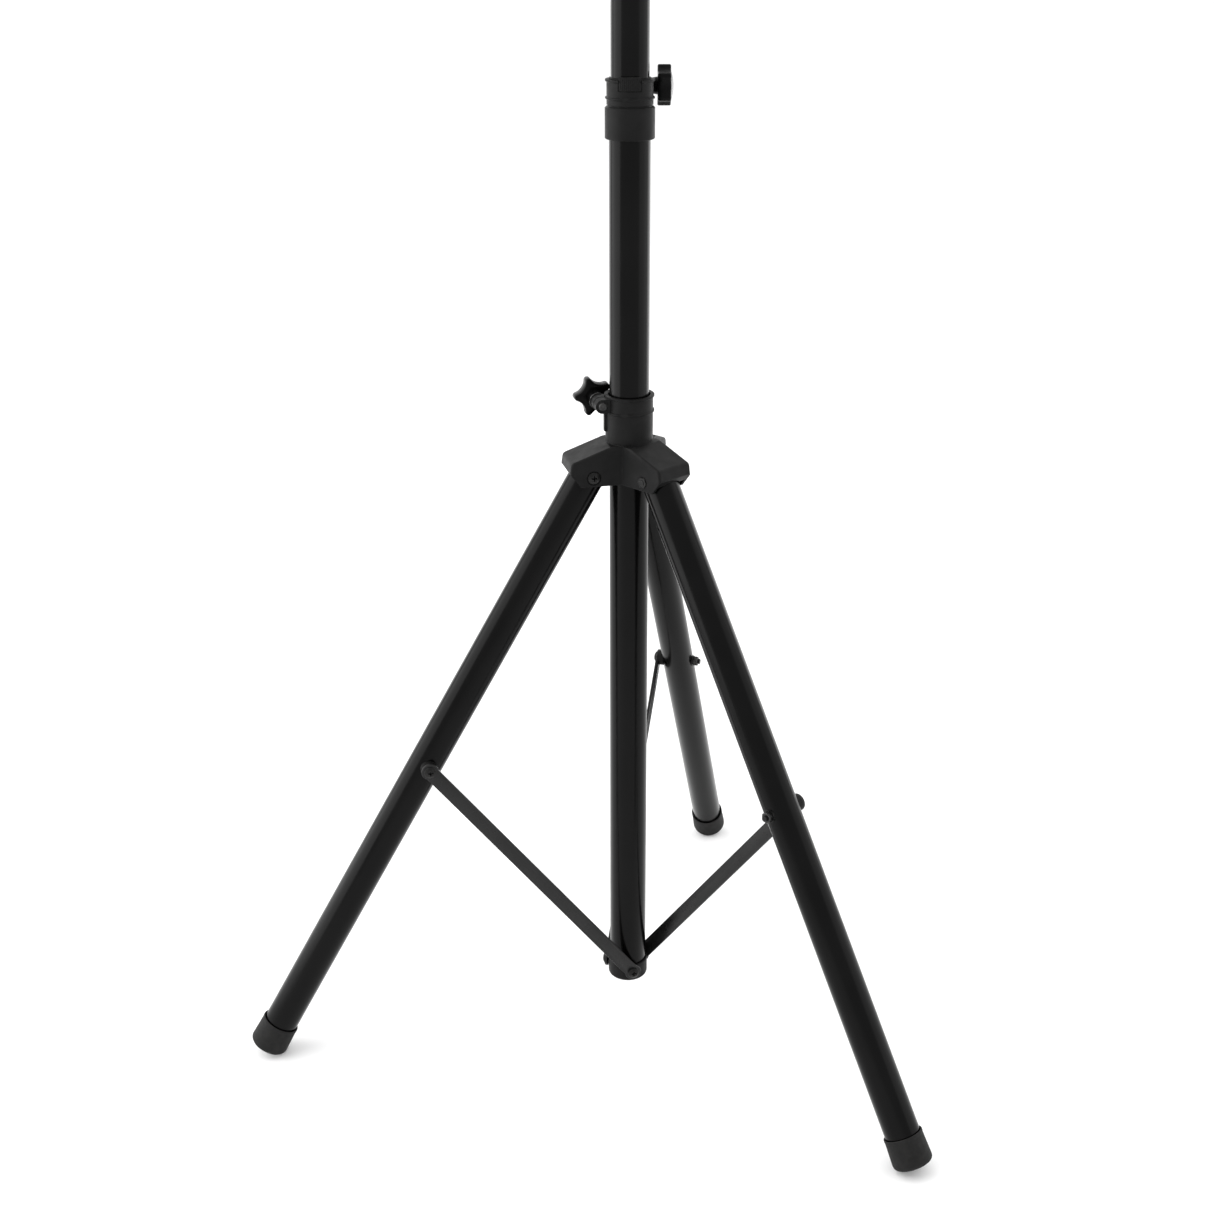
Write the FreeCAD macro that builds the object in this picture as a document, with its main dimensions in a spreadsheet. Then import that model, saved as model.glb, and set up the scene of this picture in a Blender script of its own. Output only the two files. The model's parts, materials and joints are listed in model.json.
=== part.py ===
"""Speaker tripod stand: a telescopic pole on a folding three-leg base.

The frame stands on z = 0 with the tube axis on Z. One leg points along +Y (back), the others
at 210 degrees (left) and 330 degrees (right). Lengths are millimetres.
Three local frames are used:
  hub frame    origin on the tube axis, level with the leg pivots
  leg frame    origin at the leg's pivot, Z up along the leg, X away from the tube, Y along the pivot
  strap frame  origin at the bolt in the leg, Z up along the strap, Y along the bolt
"""
import FreeCAD, Part
import Sketcher
import math
import os
import re

App = FreeCAD
Vector = App.Vector
X_AXIS, Y_AXIS, Z_AXIS = Vector(1, 0, 0), Vector(0, 1, 0), Vector(0, 0, 1)

LEGS = {"back": 90, "left": 210, "right": 330}  # azimuth of each leg, degrees
HUB_CLAMP_AZIMUTH = 210  # the hub's clamp ears are over the left leg
COLLAR_CLAMP_AZIMUTH = 105.6  # the pole clamp's ears face the back

SIZES = {
    # centre tube and the pole that slides in it
    "tube_radius": 19.05,
    "tube_wall": 1.5,
    "tube_low": 38.9,
    "tube_high": 953.9,
    "pole_radius": 17.5,
    "pole_wall": 1.5,
    "pole_low": 170.0,
    "pole_high": 1250.0,
    "sliding_gap": 0.05,
    "plug_length": 20.0,
    "plug_flange": 4.0,
    "cap_radius": 17.2,
    "cap_thick": 2.5,
    "cap_round": 1.6,
    "spigot_length": 100.0,
    "mark_width": 2.5,
    "mark_depth": 0.4,
    # end fitting under the centre tube
    "fitting_radius": 20.9,
    "fitting_low": 36.3,
    "fitting_high": 56.9,
    "fitting_round": 4.5,
    # collar at the top of the centre tube
    "collar_low": 927.9,
    "sleeve_radius": 22.8,
    "waist_radius": 21.2,
    "rim_radius": 22.5,
    "waist_low": 956.4,
    "collar_bead": 964.0,
    "collar_high": 980.2,
    "collar_bolt_height": 971.1,
    "bush_proud": 1.2,
    "key_width": 20.0,
    "key_height": 9.0,
    "key_proud": 3.0,
    "key_gap": 0.35,
    # clamp ears and their star screws, the same at both clamps
    "ear_radius": 6.8,
    "ear_face": 10.5,
    "slit": 1.4,
    "slit_start": 10.0,
    "slit_drop": 18.0,
    "slit_tall": 60.0,
    "split_reach": 20.0,
    "ear_reach": 28.5,
    "bolt_radius": 4.0,
    "nut_pocket_radius": 5.2,
    "nut_pocket": 3.0,
    "washer_radius": 8.0,
    "washer_thick": 1.5,
    "boss_radius": 6.5,
    "star_near": 25.0,
    "star_thick": 12.5,
    "star_radius": 19.1,
    "star_hollow": 13.0,
    "star_tip_round": 3.2,
    "star_edge_round": 1.2,
    "knob_cap_radius": 12.5,
    "knob_cap_rise": 2.2,
    # hub, measured from the pivots' level
    "hub_radius": 23.0,
    "hub_rim_radius": 24.2,
    "hub_bore": 20.5,
    "hub_core_radius": 21.7,
    "hub_low": -8.6,
    "hub_high": 75.5,
    "hub_bead": 59.8,
    "hub_bolt_height": 67.0,
    "hub_bush_low": 28.0,
    "hub_bush_high": 70.0,
    "gusset_length": 3.9,
    "gusset_thick": 5.2,
    "gusset_height": 18.0,
    "arm_half_width": 21.3,
    "channel_half_width": 17.9,
    "roof_inner_height": 29.5,
    "roof_inner_reach": 23.0,
    "arm_reach": 63.2,
    "arm_top_reach": 61.7,
    "roof_outer_height": 15.5,
    "lip_height": 5.2,
    "heel_reach": 52.5,
    "roof_thick": 3.4,
    "lip_thick": 3.6,
    "arm_round": 2.4,
    "arm_end_round": 5.0,
    "arm_start": 10.0,
    "channel_start": 13.0,
    "arch_length": 60.0,
    "pocket_depth": 5.0,
    "arch_radius": 18.2,
    # legs
    "splay": 30.14,
    "pivot_reach": 39.9,
    "leg_radius": 17.4,
    "leg_wall": 1.5,
    "leg_length": 700.7,
    "leg_top": 2.0,
    "leg_plug_length": 34.0,
    "foot_radius": 20.1,
    "foot_mouth": 19.3,
    "foot_length": 31.5,
    "foot_floor": 4.0,
    "foot_round": 5.0,
    "foot_rim": 0.8,
    # screws, nuts and washers of the folding joints
    "screw_radius": 3.0,
    "pivot_gap": 0.06,
    "head_radius": 6.0,
    "head_height": 3.0,
    "nut_across": 10.0,
    "nut_thick": 5.0,
    "thin_nut": 3.2,
    "screw_tip": 2.6,
    "recess_depth": 1.6,
    "recess_long": 5.2,
    "recess_wide": 1.1,
    "pivot_head_seat": 19.8,
    "pivot_nut_seat": 19.1,
    "pocket_radius": 7.0,
    # strap braces
    "strap_bolt_drop": 339.4,
    "strap_length": 342.7,
    "strap_low_height": 50.1,
    "strap_width": 15.0,
    "strap_eye": 8.8,
    "strap_thick": 3.0,
    "strap_near": 21.3,
    "face_gap": 0.1,
    "saddle_radius": 8.8,
    "leg_washer_radius": 6.2,
    "leg_washer_thick": 1.0,
}

doc = App.newDocument("speaker_tripod_stand")
sheet = doc.addObject("Spreadsheet::Sheet", "Sizes")
for row, (alias, number) in enumerate(SIZES.items(), start=1):
    sheet.set(f"A{row}", alias)
    sheet.set(f"B{row}", str(number))
    sheet.setAlias(f"B{row}", alias)
doc.recompute()

pieces = []


# ---------------------------------------------------------------- values and placements

def bound(text):
    """An expression on the sheet's cells, from one written with the bare aliases."""
    def cell(match):
        word = match.group()
        return f"Sizes.{word}" if word in SIZES else word
    return re.sub(r"[a-z_]+", cell, str(text))


def value(text):
    """The number that such an expression has now."""
    result = sheet.evalExpression(bound(text))
    return float(getattr(result, "Value", result))


def drive(obj, **properties):
    """Bind properties to the sheet. A double underscore stands for the dot of a path."""
    for name, text in properties.items():
        obj.setExpression(name.replace("__", "."), bound(text))


def move(obj, x="0", y="0", z="0", turn=None):
    """Turn an object, and bind its position to the sheet."""
    obj.Placement = App.Placement(Vector(), turn or App.Rotation())
    drive(obj, Placement__Base__x=x, Placement__Base__y=y, Placement__Base__z=z)
    return obj


def polar(azimuth, reach, aside="0"):
    """The x and y of a point at a reach along an azimuth and a distance aside from it."""
    return (
        f"({reach}) * cos({azimuth}) - ({aside}) * sin({azimuth})",
        f"({reach}) * sin({azimuth}) + ({aside}) * cos({azimuth})",
    )


def about_z(azimuth):
    return App.Rotation(Z_AXIS, azimuth)


def sideways(azimuth):
    """Z turned to lie level, 90 degrees on from an azimuth."""
    return about_z(azimuth) * App.Rotation(X_AXIS, -90)


ALONG_Y = App.Rotation(X_AXIS, -90)

SPLAY = SIZES["splay"]
# the foot tapers, so the centre of its sole's round is a little further in than a square corner's
FOOT_TAPER = math.atan((SIZES["foot_radius"] - SIZES["foot_mouth"]) / SIZES["foot_length"])
SOLE_INSET = SIZES["foot_round"] / math.tan((math.pi / 2 - FOOT_TAPER) / 2)
PIVOT_HEIGHT = (
    SIZES["foot_round"]
    + (SIZES["leg_length"] - SIZES["foot_round"]) * math.cos(math.radians(SPLAY))
    + (SIZES["foot_radius"] - SOLE_INSET) * math.sin(math.radians(SPLAY))
)


def leg_place(azimuth):
    """The leg frame in the stand."""
    out = about_z(azimuth).multVec(X_AXIS) * SIZES["pivot_reach"]
    turn = about_z(azimuth) * App.Rotation(Y_AXIS, -SPLAY)
    return App.Placement(out + Z_AXIS * PIVOT_HEIGHT, turn)


def strap_place(azimuth):
    """The strap frame in the stand, from its bolt in the leg down to the tube's axis."""
    bolt = leg_place(azimuth).multVec(Vector(0, 0, -SIZES["strap_bolt_drop"]))
    reach = math.hypot(bolt.x, bolt.y)
    lean = math.degrees(math.atan2(reach, bolt.z - SIZES["strap_low_height"]))
    return App.Placement(bolt, about_z(azimuth) * App.Rotation(Y_AXIS, lean))


# ---------------------------------------------------------------- solids

def keep(obj, name, place=None):
    """Name a finished sub-part, and place it in the stand."""
    obj.Label = name
    if place is not None:
        obj.Placement = place.multiply(obj.Placement)
    pieces.append(obj)
    return obj


def cylinder(name, radius, length, x="0", y="0", z="0", turn=None):
    solid = doc.addObject("Part::Cylinder", name)
    drive(solid, Radius=radius, Height=length)
    return move(solid, x, y, z, turn)


def box(name, size, x, y, z, turn=None):
    solid = doc.addObject("Part::Box", name)
    drive(solid, Length=size[0], Width=size[1], Height=size[2])
    return move(solid, x, y, z, turn)


def hexagon(name, across, length, x="0", y="0", z="0", turn=None):
    solid = doc.addObject("Part::Prism", name)
    solid.Polygon = 6
    drive(solid, Circumradius=f"({across}) / 2 / cos(30)", Height=length)
    return move(solid, x, y, z, turn)


def fuse(name, solids):
    joined = doc.addObject("Part::MultiFuse", name)
    joined.Shapes = solids
    joined.Refine = True
    return joined


def cut(name, base, tools):
    """The base less each tool. Every cut has to remove something."""
    tool = tools[0] if len(tools) == 1 else fuse(name + "_tools", tools)
    result = doc.addObject("Part::Cut", name)
    result.Base = base
    result.Tool = tool
    result.Refine = True
    doc.recompute()
    if not result.Shape.Volume < base.Shape.Volume - 0.01:
        raise ValueError(f"{name}: the cut removed nothing")
    return result


def ring(name, outer, inner, low, high):
    """A tube about Z."""
    wall = cylinder(name + "_wall", outer, f"({high}) - ({low})", z=low)
    bore = cylinder(name + "_bore", inner, f"({high}) - ({low})", z=low)
    return cut(name, wall, [bore])


def sketch_on(body, role, name):
    """A sketch on one of the body's own origin planes."""
    drawing = body.newObject("Sketcher::SketchObject", name)
    plane = [f for f in body.Origin.OriginFeatures if f.Role == role][0]
    drawing.AttachmentSupport = (plane, [""])
    drawing.MapMode = "FlatFace"
    return drawing


def outline(drawing, corners):
    """A closed outline of straight lines, with each corner's place bound to the sheet."""
    points = [Vector(value(x), value(y), 0) for x, y in corners]
    count = len(points)
    for i in range(count):
        drawing.addGeometry(Part.LineSegment(points[i], points[(i + 1) % count]), False)
    for i in range(count):
        drawing.addConstraint(Sketcher.Constraint("Coincident", i, 2, (i + 1) % count, 1))
    for i, (x, y) in enumerate(corners):
        for kind, text in (("DistanceX", x), ("DistanceY", y)):
            at = drawing.addConstraint(Sketcher.Constraint(kind, -1, 1, i, 1, value(text)))
            drawing.setExpression(f"Constraints[{at}]", bound(text))


def disc(drawing, radius, x="0", y="0"):
    """A circle with its centre and radius bound to the sheet."""
    centre = Vector(value(x), value(y), 0)
    geometry = drawing.addGeometry(Part.Circle(centre, Z_AXIS, value(radius)), False)
    at = drawing.addConstraint(Sketcher.Constraint("Radius", geometry, value(radius)))
    drawing.setExpression(f"Constraints[{at}]", bound(radius))
    for kind, text in (("DistanceX", x), ("DistanceY", y)):
        at = drawing.addConstraint(Sketcher.Constraint(kind, -1, 1, geometry, 3, value(text)))
        drawing.setExpression(f"Constraints[{at}]", bound(text))


def turned(name, corners, rounds=()):
    """A body turned about Z from an outline of (radius, height) corners.

    Each of rounds is (kind, size, radius, height): a Fillet or Chamfer on the edge there.
    """
    body = doc.addObject("PartDesign::Body", name)
    drawing = sketch_on(body, "XZ_Plane", name + "_profile")
    outline(drawing, corners)
    solid = body.newObject("PartDesign::Revolution", name + "_turn")
    solid.Profile = drawing
    solid.ReferenceAxis = (drawing, ["V_Axis"])
    solid.Angle = 360
    drawing.Visibility = False
    doc.recompute()
    for kind, size, radius, height in rounds:
        dress(body, kind, size, lambda e: is_circle(e, value(radius), value(height)))
    return body


def is_circle(edge, radius, height):
    """Whether an edge is the circle about Z of that radius, at that height."""
    curve = edge.Curve
    return (
        isinstance(curve, Part.Circle)
        and abs(curve.Radius - radius) < 0.01
        and abs(curve.Center.z - height) < 0.01
    )


def dress(body, kind, size, wanted):
    """Round or bevel the edges that pass a test."""
    base = body.Tip
    edges = [f"Edge{i}" for i, e in enumerate(base.Shape.Edges, start=1) if wanted(e)]
    if not edges:
        raise ValueError(f"{body.Name}: no edge to work on")
    feature = body.newObject(f"PartDesign::{kind}", f"{body.Name}_{kind.lower()}")
    feature.Base = (base, edges)
    drive(feature, **{"Radius" if kind == "Fillet" else "Size": size})
    doc.recompute()
    return feature


def pan_head_screw(name, seat, tip):
    """A cross-recess screw along Z, its head above seat and its shank down to tip."""
    corners = [
        ("0", tip), ("screw_radius - 0.4", tip), ("screw_radius", f"{tip} + 0.8"),
        ("screw_radius", seat), ("head_radius", seat),
        ("head_radius", f"{seat} + head_height * 0.45"),
        ("head_radius * 0.62", f"{seat} + head_height"), ("0", f"{seat} + head_height"),
    ]
    top = f"{seat} + head_height"
    edges = [("Fillet", "0.8", "head_radius", f"{seat} + head_height * 0.45"),
             ("Fillet", "1.2", "head_radius * 0.62", top)]
    shank = turned(name + "_turned", corners, edges)
    slots = [
        box(f"{name}_slot_{i}", (a, b, "recess_depth + 0.5"), f"-{a} / 2", f"-{b} / 2",
            f"{top} - recess_depth")
        for i, (a, b) in enumerate([("recess_long", "recess_wide"),
                                    ("recess_wide", "recess_long")])
    ]
    return cut(name, shank, slots)


# ---------------------------------------------------------------- column

def build_column():
    keep(ring("centre_tube", "tube_radius", "tube_radius - tube_wall", "tube_low", "tube_high"),
         "centre_tube")
    cup = turned(
        "bottom_fitting",
        [("0", "fitting_low"), ("fitting_radius", "fitting_low"),
         ("fitting_radius", "fitting_high"), ("tube_radius", "fitting_high"),
         ("tube_radius", "tube_low"), ("0", "tube_low")],
        [("Fillet", "fitting_round", "fitting_radius", "fitting_low"),
         ("Chamfer", "0.6", "fitting_radius", "fitting_high")],
    )
    keep(cup, "bottom_fitting")


def clamp_ears(name, azimuth, height, inner):
    """Two D-shaped ears on a bolt line, as solids, and the slit and hole, as tools."""
    solids = []
    width = "ear_face * 2"
    x, y = polar(azimuth, inner, "-ear_face")
    size = (f"ear_reach - ({inner})", width, "ear_radius * 2")
    solids.append(box(name + "_ear_root", size, x, y, f"{height} - ear_radius", about_z(azimuth)))
    x, y = polar(azimuth, "ear_reach", "-ear_face")
    solids.append(cylinder(name + "_ear_end", "ear_radius", width, x, y, height,
                           sideways(azimuth)))
    x, y = polar(azimuth, "slit_start", "-slit / 2")
    slit = box(name + "_slit", ("ear_reach + ear_radius", "slit", "slit_tall"), x, y,
               f"{height} - ear_radius - slit_drop", about_z(azimuth))
    x, y = polar(azimuth, "ear_reach", "-ear_face - 1")
    hole = cylinder(name + "_hole", "bolt_radius + sliding_gap", "ear_face * 2 + 2", x, y,
                    height, sideways(azimuth))
    x, y = polar(azimuth, "ear_reach", "ear_face - nut_pocket")
    pocket = cylinder(name + "_pocket", "nut_pocket_radius", "nut_pocket + 1", x, y, height,
                      sideways(azimuth))
    return solids, [slit, hole, pocket]


def star_body(name):
    """A five-pointed grip: round tips with a hollow between each two, all tangent."""
    points = 5
    half = 180 / points
    tip_centre = "(star_radius - star_tip_round)"
    hollow_centre = (
        f"({tip_centre} * cos({half}) + sqrt((star_hollow + star_tip_round) ^ 2"
        f" - ({tip_centre} * sin({half})) ^ 2))"
    )
    share = "(star_tip_round / (star_hollow + star_tip_round))"
    corners, tips, hollows = [], [], []
    for i in range(points):
        tip = polar(i * 2 * half, tip_centre)
        tips.append(tip)
        hollows.append(polar((i * 2 + 1) * half, hollow_centre))
        for side in (-1, 1):
            hollow = polar((i * 2 + side) * half, hollow_centre)
            corners.append(tuple(f"({a}) + (({b}) - ({a})) * {share}"
                                 for a, b in zip(tip, hollow)))
    body = doc.addObject("PartDesign::Body", name)
    lift = App.Placement(Vector(0, 0, value("star_near")), App.Rotation())

    def feature(kind, what, draw):
        drawing = sketch_on(body, "XY_Plane", f"{name}_{what}_sketch")
        draw(drawing)
        drawing.AttachmentOffset = lift
        made = body.newObject(f"PartDesign::{kind}", f"{name}_{what}")
        made.Profile = drawing
        drive(made, Length="star_thick")
        if kind == "Pocket":
            made.Reversed = True
        doc.recompute()
        return made.Shape.Volume

    def discs(radius, centres):
        def draw(drawing):
            for x, y in centres:
                disc(drawing, radius, x, y)
        return draw

    core = feature("Pad", "core", lambda drawing: outline(drawing, corners))
    full = feature("Pad", "tips", discs("star_tip_round", tips))
    star = feature("Pocket", "hollows", discs("star_hollow", hollows))
    if not core < full or not star < full:
        raise ValueError(f"{name}: a tip or a hollow is missing")

    def rim(edge):
        heights = {round(v.Point.z, 3) for v in edge.Vertexes}
        return len(heights) == 1

    dress(body, "Fillet", "star_edge_round", rim)
    return body


def build_clamp_screw(name, azimuth, height, place):
    """What draws the ears together.

    A round nut in the front ear, a washer on the rear ear, and the star screw that turns in
    both: its stud, its moulded star and the star's cap.
    """
    def at(aside):
        return polar(azimuth, "ear_reach", aside)

    x, y = at("ear_face - nut_pocket")
    nut = cylinder(name + "_nut_blank", "nut_pocket_radius - 0.1", "nut_pocket - 0.6", x, y,
                   height, sideways(azimuth))
    bore = cylinder(name + "_nut_bore", "bolt_radius + sliding_gap", "nut_pocket", x, y,
                    height, sideways(azimuth))
    keep(cut(name + "_clamp_nut", nut, [bore]), name + "_clamp_nut", place)

    x, y = at("-ear_face - washer_thick")
    washer = cylinder(name + "_washer_blank", "washer_radius", "washer_thick", x, y, height,
                      sideways(azimuth))
    bore = cylinder(name + "_washer_bore", "bolt_radius + sliding_gap", "washer_thick", x, y,
                    height, sideways(azimuth))
    keep(cut(name + "_clamp_washer", washer, [bore]), name + "_clamp_washer", place)

    # the star screw is made along Z, its outer face up, and then laid on the bolt line
    turn = about_z(azimuth) * App.Rotation(X_AXIS, 90)
    x, y = (value(text) for text in at("0"))
    lay = place.multiply(App.Placement(Vector(x, y, value(height)), turn))
    star_far = "star_near + star_thick"

    stud = turned(
        name + "_knob_stud",
        [("0", "-ear_face - 0.4"), ("bolt_radius - 0.6", "-ear_face - 0.4"),
         ("bolt_radius", "-ear_face + 0.2"), ("bolt_radius", f"{star_far} - 4"),
         ("0", f"{star_far} - 4")],
    )
    keep(stud, name + "_knob_stud", lay)

    body = star_body(name + "_knob")
    boss_near = "(ear_face + washer_thick + face_gap)"
    boss = cylinder(name + "_boss", "boss_radius", f"star_near - {boss_near} + 1", z=boss_near)
    blank = fuse(name + "_star_blank", [body, boss])
    bore = cylinder(name + "_star_bore", "bolt_radius", f"{star_far} - 4 - ear_face",
                    z="ear_face")
    seat = cylinder(name + "_cap_seat", "knob_cap_radius - 2", "2.5", z=f"{star_far} - 2")
    keep(cut(name + "_star_knob", blank, [bore, seat]), name + "_star_knob", lay)

    ball = "(knob_cap_radius ^ 2 + knob_cap_rise ^ 2) / (2 * knob_cap_rise)"
    dome = doc.addObject("Part::Sphere", name + "_cap_ball")
    drive(dome, Radius=ball)
    move(dome, z=f"{star_far} + knob_cap_rise - {ball}")
    slab = cylinder(name + "_cap_slab", "knob_cap_radius", "knob_cap_rise", z=star_far)
    lens = doc.addObject("Part::MultiCommon", name + "_cap_lens")
    lens.Shapes = [dome, slab]
    plug = cylinder(name + "_cap_plug", "knob_cap_radius - 2", "2", z=f"{star_far} - 2")
    keep(fuse(name + "_knob_cap", [lens, plug]), name + "_knob_cap", lay)


def build_collar():
    """The collar moulded round the top of the tube, and the bush that grips the pole."""
    azimuth = COLLAR_CLAMP_AZIMUTH
    shell = turned(
        "collar_shell",
        [("tube_radius", "collar_low"), ("sleeve_radius", "collar_low"),
         ("sleeve_radius", "waist_low - 1.2"), ("waist_radius + 0.4", "waist_low"),
         ("waist_radius - 0.8", "waist_low + 0.4"), ("waist_radius - 0.8", "waist_low + 1.4"),
         ("waist_radius", "waist_low + 1.6"),
         ("waist_radius", "collar_bead - 1.3"), ("rim_radius", "collar_bead - 0.6"),
         ("rim_radius", "collar_bead + 0.6"), ("waist_radius", "collar_bead + 1.3"),
         ("waist_radius", "collar_high - 2.6"), ("rim_radius", "collar_high - 1.7"),
         ("rim_radius", "collar_high"), ("tube_radius", "collar_high")],
        [("Fillet", "0.9", "sleeve_radius", "waist_low - 1.2"),
         ("Fillet", "1.2", "sleeve_radius", "collar_low"),
         ("Fillet", "0.4", "rim_radius", "collar_high")],
    )
    ears, tools = clamp_ears("collar", azimuth, "collar_bolt_height", "waist_radius - 2")
    core = cylinder("collar_core", "tube_radius", "collar_high - collar_low", z="collar_low")
    x, y = polar(azimuth, "-rim_radius - 1", "-key_width / 2 - key_gap")
    window = box("collar_window", ("8", "key_width + 2 * key_gap", "key_height + key_gap + 5"),
                 x, y, "collar_high - key_height - key_gap", about_z(azimuth))
    keep(cut("pole_collar", fuse("collar_blank", [shell] + ears), tools + [core, window]),
         "pole_collar")

    sleeve = ring("pole_bush_sleeve", "tube_radius", "pole_radius + sliding_gap",
                  "tube_high", "collar_high + bush_proud")
    x, y = polar(azimuth, "-waist_radius - 0.4", "-key_width / 2")
    block = box("pole_bush_key", ("5", "key_width", "key_height + key_proud"), x, y,
                "collar_high - key_height", about_z(azimuth))
    rounder = cylinder("pole_bush_key_round", "waist_radius + 0.4", "collar_high", z="20")
    key = doc.addObject("Part::MultiCommon", "pole_bush_key_face")
    key.Shapes = [block, rounder]
    bore = cylinder("pole_bush_key_bore", "pole_radius + sliding_gap", "collar_high", z="20")
    x, y = polar(azimuth, "slit_start", "-slit / 2")
    split = box("pole_bush_split", ("split_reach", "slit", "collar_high"), x, y, "tube_high - 1",
                about_z(azimuth))
    keep(cut("pole_bush", fuse("pole_bush_blank", [sleeve, key]), [bore, split]), "pole_bush")
    build_clamp_screw("collar", azimuth, "collar_bolt_height", App.Placement())


# ---------------------------------------------------------------- pole

def build_pole():
    wall = ring("pole_wall", "pole_radius", "pole_radius - pole_wall", "pole_low", "pole_high")
    mark = ring("pole_mark", "pole_radius + 1", "pole_radius - mark_depth",
                "pole_high - spigot_length - mark_width", "pole_high - spigot_length")
    keep(cut("upper_pole", wall, [mark]), "upper_pole")
    inner = "pole_radius - pole_wall"
    plug = turned(
        "pole_end_plug",
        [("0", "pole_low - plug_flange"), ("pole_radius", "pole_low - plug_flange"),
         ("pole_radius", "pole_low - sliding_gap"), (f"{inner} - sliding_gap",
         "pole_low - sliding_gap"), (f"{inner} - sliding_gap", "pole_low + plug_length"),
         ("0", "pole_low + plug_length")],
        [("Chamfer", "0.8", "pole_radius", "pole_low - plug_flange")],
    )
    keep(plug, "pole_end_plug")
    cap = turned(
        "pole_top_cap",
        [("0", "pole_high - plug_length"), (inner, "pole_high - plug_length"),
         (inner, "pole_high"), ("cap_radius", "pole_high"), ("cap_radius", "pole_high + cap_thick"),
         ("0", "pole_high + cap_thick")],
        [("Fillet", "cap_round", "cap_radius", "pole_high + cap_thick")],
    )
    keep(cap, "pole_top_cap")


# ---------------------------------------------------------------- hub

def hub_arm(side, azimuth):
    """One arm of the crown: a sloping roof between two side walls, its edges rounded."""
    body = doc.addObject("PartDesign::Body", f"arm_{side}")
    drawing = sketch_on(body, "XZ_Plane", f"arm_{side}_profile")
    inner = "arm_start"
    outline(drawing, [
        (inner, "hub_low"), ("heel_reach", "hub_low"), ("arm_reach", "lip_height"),
        ("arm_top_reach", "roof_outer_height"), ("roof_inner_reach", "roof_inner_height"),
        (inner, "roof_inner_height"),
    ])
    pad = body.newObject("PartDesign::Pad", f"arm_{side}_pad")
    pad.Profile = drawing
    pad.SideType = "Symmetric"
    drive(pad, Length="arm_half_width * 2")
    doc.recompute()
    half = value("arm_half_width")
    top = value("roof_outer_height")
    slip = 0.01

    def roof_end(edge):
        return all(abs(v.Z - top) < slip for v in edge.Vertexes)

    def side_edge(edge):
        return all(
            abs(abs(v.Y) - half) < slip
            and v.X > value("roof_inner_reach") - slip
            and v.Z > value("lip_height") - slip
            for v in edge.Vertexes
        )

    dress(body, "Fillet", "arm_end_round", roof_end)
    dress(body, "Fillet", "arm_round", side_edge)
    body.Placement = App.Placement(Vector(), about_z(azimuth))
    return body


def hub_channel(side, azimuth):
    """The space under one arm's roof where the leg's top turns."""
    body = doc.addObject("PartDesign::Body", f"channel_{side}")
    drawing = sketch_on(body, "XZ_Plane", f"channel_{side}_profile")
    slope = "(roof_inner_height - roof_outer_height) / (arm_top_reach - roof_inner_reach)"
    inner, outer = "channel_start", "arm_top_reach - lip_thick"

    def ceiling(reach):
        return f"roof_inner_height - roof_thick - ({reach} - roof_inner_reach) * {slope}"

    outline(drawing, [
        (inner, "hub_low - 3"), (outer, "hub_low - 3"), (outer, ceiling(outer)),
        ("roof_inner_reach", ceiling("roof_inner_reach")),
        (inner, ceiling("roof_inner_reach")),
    ])
    pad = body.newObject("PartDesign::Pad", f"channel_{side}_pad")
    pad.Profile = drawing
    pad.SideType = "Symmetric"
    drive(pad, Length="channel_half_width * 2")
    doc.recompute()
    body.Placement = App.Placement(Vector(), about_z(azimuth))
    return body


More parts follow.
